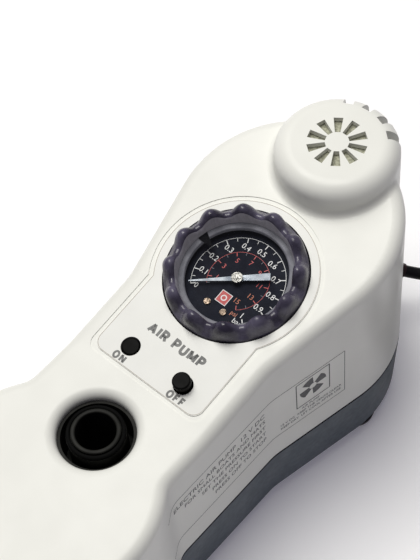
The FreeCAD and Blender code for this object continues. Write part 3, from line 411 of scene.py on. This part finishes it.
def split_sharp(points):
    """A line cut into runs at its sharp corners, where a mitre would pinch it."""
    runs = [points[:1]]
    for before, point, after in zip(points, points[1:], points[2:]):
        runs[-1].append(point)
        if (Vector(point) - Vector(before)).angle(Vector(after) - Vector(point)) > SHARP_CORNER:
            runs.append([point])
    runs[-1].append(points[-1])
    return runs


def bold_word(text, height, x, y, turn, weight=0.25, gap=0.15):
    """Strokes of a word in heavy capitals, centred on a point.

    weight and gap are shares of the height."""
    inner = 1 - weight
    widths = [STROKES[letter][0] * inner + weight for letter in text]
    at = -(sum(widths) + gap * (len(text) - 1)) / 2
    cos_, sin_ = math.cos(math.radians(turn)), math.sin(math.radians(turn))
    strokes = []
    for letter, width in zip(text, widths):
        for line in STROKES[letter][1]:
            points = []
            for across, up in line:
                u = (at + weight / 2 + across * inner) * height
                v = (up * inner + weight / 2 - 0.5) * height
                points.append((x + u * cos_ - v * sin_, y + u * sin_ + v * cos_))
            strokes += [stroke(run, weight * height) for run in split_sharp(points)]
        at += width + gap
    return strokes


def print_piece(name, groups, place, ink_, thickness):
    """Groups of printed faces as one thin raised piece; place maps (x, y, height) to the frame.

    Faces of one group are joined where their corners meet."""
    build = bmesh.new()
    for group in groups:
        corners = []
        for face in group:
            ring = [build.verts.new((corner[0], corner[1], 0.0)) for corner in face]
            corners += ring
            build.faces.new(ring)
        bmesh.ops.remove_doubles(build, verts=corners, dist=MERGE_DISTANCE)
    bmesh.ops.recalc_face_normals(build, faces=build.faces)
    for face in build.faces:
        if face.normal.z < 0:
            face.normal_flip()
    made = bmesh.ops.extrude_face_region(build, geom=build.faces[:], use_keep_orig=True)
    for item in made["geom"]:
        if isinstance(item, bmesh.types.BMVert):
            item.co.z = thickness
    bmesh.ops.recalc_face_normals(build, faces=build.faces)
    for vertex in build.verts:
        vertex.co = place(vertex.co)
    mesh_ = bpy.data.meshes.new(name)
    build.to_mesh(mesh_)
    build.free()
    mesh_.materials.append(ink_)
    piece = bpy.data.objects.new(name, mesh_)
    bpy.context.scene.collection.objects.link(piece)
    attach(piece, HOUSING)


MARK = [(-7.1, 2.5), (-7.1, -2.9), (-12.7, -2.9), (-12.7, 2.5)]


def at_height(level):
    """A placement in the gauge's plane, at a height over the dial in mm."""
    return lambda point: GAUGE @ Vector((point.x, point.y, level + point.z))


UPRIGHT = -90.0                             # the turn of text that reads from the low lobe
ZERO_ANGLE, TENTH_ANGLE, FULL_ANGLE = 128.6, 108.0, -135.0
PSI_PER_BAR = 14.5038


def scale_angle(bar):
    """Where a pressure stands on the dial: even from 0.1 bar on, and crowded below it."""
    even = 135.0 - 270.0 * bar
    return even if bar >= 0.1 else ZERO_ANGLE + (TENTH_ANGLE - ZERO_ANGLE) * bar / 0.1


def on_dial(text, height, radius, angle):
    """Faces of a number at a radius and an angle in degrees on the dial."""
    angle = math.radians(angle)
    return letters(text, height, radius * math.cos(angle), radius * math.sin(angle), UPRIGHT)


def bar_scale():
    """The bar scale's arc, ticks, numbers and unit, and the outline and ring of the mark."""
    radius, number_radius, number_height = 20.9, 16.3, 2.6
    groups = [stroke(arc(radius, ZERO_ANGLE, FULL_ANGLE, 3), 0.2)]
    for tick in range(21):
        long, width = (2.3, 0.42) if tick % 2 == 0 else (1.7, 0.24)
        groups.append([radial(scale_angle(tick / 20), radius - long, radius, width)])
    for tenth in range(1, 10):
        groups.append(on_dial(f"0.{tenth}", number_height, number_radius, scale_angle(tenth / 10)))
    groups.append(letters("1", number_height, -11.9, -12.0, UPRIGHT))
    groups.append(letters("0", 2.4, -12.3, 13.7, UPRIGHT))
    groups.append(letters("bar", 2.4, -15.6, -12.2, UPRIGHT))
    groups.append(stroke(MARK, 0.3, closed=True))
    ring = [(-9.9 + 1.2 * x, -0.2 + 1.2 * y) for x, y in arc(1.0, 0, 330, 30)]
    return groups + [stroke(ring, 0.5, closed=True)]


def dial_print():
    """The bar scale in white, the psi scale inside it in red, a plain red mark and both units."""
    radius, number_radius, number_height = 13.9, 9.7, 2.3
    red = [stroke(arc(radius, ZERO_ANGLE, scale_angle(15 / PSI_PER_BAR), 3), 0.18), [MARK]]
    orange, dim = [letters("psi", 2.1, -13.2, -8.6, UPRIGHT)], []
    for psi in range(16):
        group, long, width = (red, 2.0, 0.34) if psi % 2 else (dim, 1.4, 0.2)
        group.append([radial(scale_angle(psi / PSI_PER_BAR), radius - long, radius, width)])
    for psi in range(1, 16, 2):
        numbers = orange if psi > 11 else red
        numbers.append(on_dial(str(psi), number_height, number_radius,
                               scale_angle(psi / PSI_PER_BAR)))
    for name, groups, level, ink_ in (("white", bar_scale(), 0.01, WHITE_INK),
                                      ("red", red, 0.0, RED_INK),
                                      ("orange", orange, 0.0, ORANGE_INK),
                                      ("dim", dim, 0.0, DIM_INK)):
        print_piece(f"dial_print_{name}", groups, at_height(level), ink_,
                    DIAL_PRINT)


def panel_outline(grow, corner):
    """The gauge panel's edge in gauge mm: a disc, and a neck with round corners to the buttons."""
    radius, half, end = 36.5 + grow, 29.5 + grow, 61.4 + grow
    meet = math.degrees(math.asin(half / radius))
    points = arc(radius, -(180 - meet), 180 - meet, 3)
    for sign in (1, -1):
        centre = (-end + corner, sign * (half - corner))
        bend = arc(corner, 90, 180, 10) if sign > 0 else arc(corner, 180, 270, 10)
        points += [(centre[0] + x, centre[1] + y) for x, y in bend]
    return points


def panel_print():
    """The panel's fine outline, the words at the buttons and a plain name."""
    outline = stroke(panel_outline(-0.3, 5.0), 0.24, closed=True)
    print_piece("panel_line", [outline], at_height(PANEL_Z), LINE_INK, HOUSING_PRINT)
    words = bold_word("ON", 3.9, -58.9, 15.9, UPRIGHT)
    words += bold_word("OFF", 3.9, -58.9, -16.2, UPRIGHT)
    words += bold_word("AIR PUMP", 5.3, -40.3, -0.7, UPRIGHT, gap=0.12)
    print_piece("panel_words", words, at_height(PANEL_Z), GREY_INK, HOUSING_PRINT)


WALL = BVHTree.FromObject(NODES["upper_shell"], bpy.context.evaluated_depsgraph_get())


def on_wall(point):
    """A placement on the housing's -Y wall: x along it, y up it, z out of it, in mm."""
    outside, lift = -0.2, 0.02
    start = Vector((point.x * MM, outside, point.y * MM))
    place, normal, _, _ = WALL.ray_cast(start, Vector((0, 1, 0)))
    return place + normal * (point.z + lift) * MM


def fine_line(start, end, step=1.5):
    """Points along a straight line close enough together to follow the wall."""
    count = max(1, math.ceil(math.dist(start, end) / step))
    return [(start[0] + (end[0] - start[0]) * i / count,
             start[1] + (end[1] - start[1]) * i / count) for i in range(count + 1)]


SMALL_ROWS = ("AIR PUMP", "12 V DC  KEEP THE VENTS CLEAR", "KEEP DRY  LET COOL AFTER USE")
LARGE_ROWS = (("ELECTRIC AIR PUMP  12 V DC", 3.2), ("FOR SMALL BOATS AND MATS", 2.7),
              ("SET THE PRESSURE FIRST", 2.7), ("PRESS ON TO START", 2.7),
              ("PRESS OFF TO STOP", 2.7))


def wall_label():
    """A clear label on the near wall: two outlines, a fan for a mark, and plain words."""
    left, right, low, high = -58.0, 52.7, 56.0, 90.0
    groups = [stroke(fine_line(start, end), 0.3)
              for start, end in (((left, high), (right, high)), ((left, low), (right, low)),
                                 ((right, low), (right, high)))]
    square = [(26.3, 68.0), (44.3, 68.0), (44.3, 88.0), (26.3, 88.0)]
    for start, end in zip(square, square[1:] + square[:1]):
        groups.append(stroke(fine_line(start, end), 0.5))
    fan_x, fan_y, tip, root = 35.3, 79.2, 7.2, 2.0
    for lean in range(0, 360, 90):
        outer = [(fan_x + tip * x, fan_y + tip * y) for x, y in arc(1.0, lean, lean + 52, 13)]
        inner = [(fan_x + root * x, fan_y + root * y)
                 for x, y in arc(1.0, lean + 70, lean - 10, 20)]
        groups.append([[Vector(point) for point in outer + inner]])
    for row, text in enumerate(SMALL_ROWS):
        groups += [[face] for face in letters(text, 1.6, 33.8, 65.6 - 2.9 * row, 0)]
    for row, (text, height) in enumerate(LARGE_ROWS):
        groups += [[face] for face in letters(text, height, 8.5, 84.0 - 5.2 * row, 0, "RIGHT")]
    print_piece("wall_label", groups, on_wall, LABEL_INK, HOUSING_PRINT)


def grip_ring():
    """The set ring with its twelve bumps running smoothly into the crest between them.

    valley and bump are the ring's sections, as radius and height in gauge mm."""
    valley = [(27.0, 4.05), (27.0, 6.1), (25.35, 6.1), (25.35, 8.4), (25.5, 9.3), (26.0, 10.1),
              (26.7, 10.6), (27.4, 10.8), (28.1, 10.6), (28.8, 10.1), (29.4, 9.3), (30.0, 8.4),
              (30.7, 7.5), (31.4, 6.8), (31.75, 6.2), (31.85, 5.4), (31.85, 4.05)]
    bump = [(27.0, 4.05), (27.0, 6.1), (25.35, 6.1), (25.35, 9.6), (25.4, 12.2), (25.7, 13.9),
            (26.3, 15.1), (27.2, 15.75), (28.3, 15.7), (29.6, 15.0), (30.7, 13.8), (31.3, 12.4),
            (31.5, 10.6), (31.6, 8.6), (31.75, 6.6), (31.85, 5.4), (31.85, 4.05)]
    sections, bumps, first_bump = 240, 12, math.radians(1.5)
    flat, roundness = 0.12, 0.75
    # Faces of the inner wall take the lighter, glowing ring_wall finish: painted light on a wall the lamps leave
    # in shade.
    inner_wall = (2, 3, 4)
    build = bmesh.new()
    rings = []
    for step in range(sections):
        angle = math.radians(360 * step / sections)
        wave = (1 + math.cos(bumps * (angle - first_bump))) / 2
        share = max(0.0, (wave - flat) / (1 - flat)) ** roundness
        ring = []
        for (low_r, low_z), (high_r, high_z) in zip(valley, bump):
            radius, height = low_r + (high_r - low_r) * share, low_z + (high_z - low_z) * share
            corner = Vector((radius * math.cos(angle), radius * math.sin(angle), height))
            ring.append(build.verts.new(GAUGE @ corner))
        rings.append(ring)
    for ring, following in zip(rings, rings[1:] + rings[:1]):
        for i in range(len(valley)):
            j = (i + 1) % len(valley)
            face = build.faces.new((ring[i], ring[j], following[j], following[i]))
            face.material_index = 1 if i in inner_wall else 0
    bmesh.ops.recalc_face_normals(build, faces=build.faces)
    for face in build.faces:
        face.smooth = True
    mesh_ = bpy.data.meshes.new("grip_ring")
    build.to_mesh(mesh_)
    build.free()
    mesh_.materials.append(FINISHES["smoked_ring"])
    mesh_.materials.append(FINISHES["ring_wall"])
    piece = bpy.data.objects.new("grip_ring", mesh_)
    bpy.context.scene.collection.objects.link(piece)
    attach(piece, "set_ring")
    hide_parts("set_ring")


dial_print()
panel_print()
wall_label()
grip_ring()


# ---------------------------------------------------------------- light, floor and world

def make_floor():
    mesh_ = bpy.data.meshes.new("floor")
    reach = 3.0
    corners = [(-reach, -reach, 0), (reach, -reach, 0), (reach, reach, 0), (-reach, reach, 0)]
    mesh_.from_pydata(corners, [], [(0, 1, 2, 3)])
    floor = bpy.data.objects.new("floor", mesh_)
    bpy.context.scene.collection.objects.link(floor)
    floor.location.z = -0.5 * MM
    material, _, shader = node_material("pale_floor")
    for socket, value in (("Base Color", (0.95, 0.95, 0.95, 1.0)), ("Roughness", 0.9),
                          ("Specular IOR Level", 0.1), ("Emission Strength", 0.15),
                          ("Emission Color", (0.92, 0.88, 1.0, 1.0))):
        shader.inputs[socket].default_value = value
    mesh_.materials.append(material)


def area_light(name, position, target, size, power):
    """A square light in a slightly warm white, turned to a target."""
    data = bpy.data.lights.new(name, "AREA")
    data.shape = "SQUARE"
    data.size = size
    data.energy = power
    data.color = (1.0, 0.99, 0.94)
    lamp = bpy.data.objects.new(name, data)
    bpy.context.scene.collection.objects.link(lamp)
    lamp.location = position
    lamp.rotation_euler = (Vector(target) - Vector(position)).to_track_quat("-Z", "Y").to_euler()


def light_up():
    world = bpy.data.worlds.new("world")
    world.use_nodes = True
    background = world.node_tree.nodes["Background"]
    background.inputs["Color"].default_value = (0.76, 0.73, 1.0, 1.0)
    background.inputs["Strength"].default_value = 0.08
    bpy.context.scene.world = world
    middle = (0.02, 0.0, 0.08)
    area_light("key", (0.3, 0.8, 1.2), middle, 0.7, 5.0)
    area_light("top", (0.1, 0.25, 1.5), middle, 0.8, 17.0)
    scene = bpy.context.scene
    scene.view_settings.view_transform = "Standard"
    scene.view_settings.look = "None"


make_floor()
light_up()
